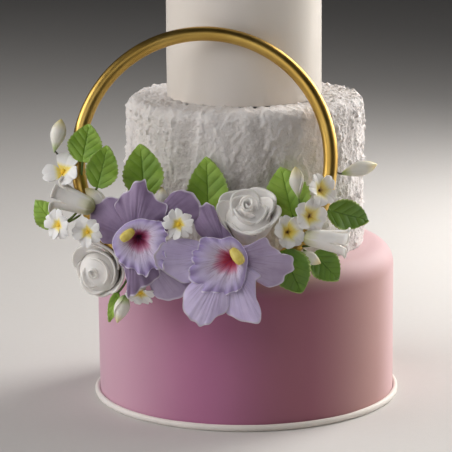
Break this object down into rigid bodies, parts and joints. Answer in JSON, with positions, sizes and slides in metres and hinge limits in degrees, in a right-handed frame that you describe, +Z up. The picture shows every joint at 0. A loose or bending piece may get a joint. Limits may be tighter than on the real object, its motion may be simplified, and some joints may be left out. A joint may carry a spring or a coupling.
{
  "type": "tiered wedding cake",
  "caption": "Round tiered wedding cake with smooth and craggy icing, a leaning gold hoop and a spray of sugar orchids, roses, blossoms, buds and leaves.",
  "frame": {"origin": "centre of the flat base, on the axis of the tiers", "axes": "+Z up the axis of the tiers, -Y towards the side that carries the hoop and the flowers, +X to the right of that side"},
  "size_m": [0.3143, 0.3073, 0.4],
  "materials": {
    "pink_icing": "satin dusty pink rolled icing",
    "white_border": "satin white rolled icing",
    "craggy_icing": "rough palette-knifed white icing",
    "cream_icing": "satin warm white rolled icing",
    "gold": "satin gold tube",
    "lilac_paste": "dusted lilac sugar paste with pale edges",
    "lip_paste": "pale lilac sugar paste, magenta in the throat",
    "yellow_paste": "yellow sugar paste",
    "rose_paste": "white sugar paste",
    "white_paste": "white sugar paste, yellow in the throat",
    "bud_paste": "white sugar paste, green at the base",
    "leaf_paste": "green sugar paste with pressed veins"
  },
  "bodies": {
    "root": {"bottom_tier": "pink_icing", "base_border": "white_border", "middle_tier": "craggy_icing", "top_tier": "cream_icing", "hoop": "gold", "orchid_right_column": "yellow_paste", "orchid_right_lip": "lip_paste", "orchid_right_petals": "lilac_paste", "orchid_left_column": "yellow_paste", "orchid_left_lip": "lip_paste", "orchid_left_petals": "lilac_paste", "rose_right": "rose_paste", "rose_left": "rose_paste", "blossom_1": "white_paste", "blossom_2": "white_paste", "blossom_3": "white_paste", "blossom_4": "white_paste", "blossom_5": "white_paste", "blossom_6": "white_paste", "blossom_7": "white_paste", "blossom_8": "white_paste", "trumpet_left": "white_paste", "trumpet_right": "white_paste", "bud_1": "bud_paste", "bud_2": "bud_paste", "bud_3": "bud_paste", "bud_4": "bud_paste", "bud_5": "bud_paste", "bud_6": "bud_paste", "bud_7": "bud_paste", "leaf_1": "leaf_paste", "leaf_2": "leaf_paste", "leaf_3": "leaf_paste", "leaf_4": "leaf_paste", "leaf_5": "leaf_paste", "leaf_6": "leaf_paste", "leaf_7": "leaf_paste", "leaf_8": "leaf_paste", "leaf_9": "leaf_paste", "leaf_10": "leaf_paste"}
  },
  "joints": []
}
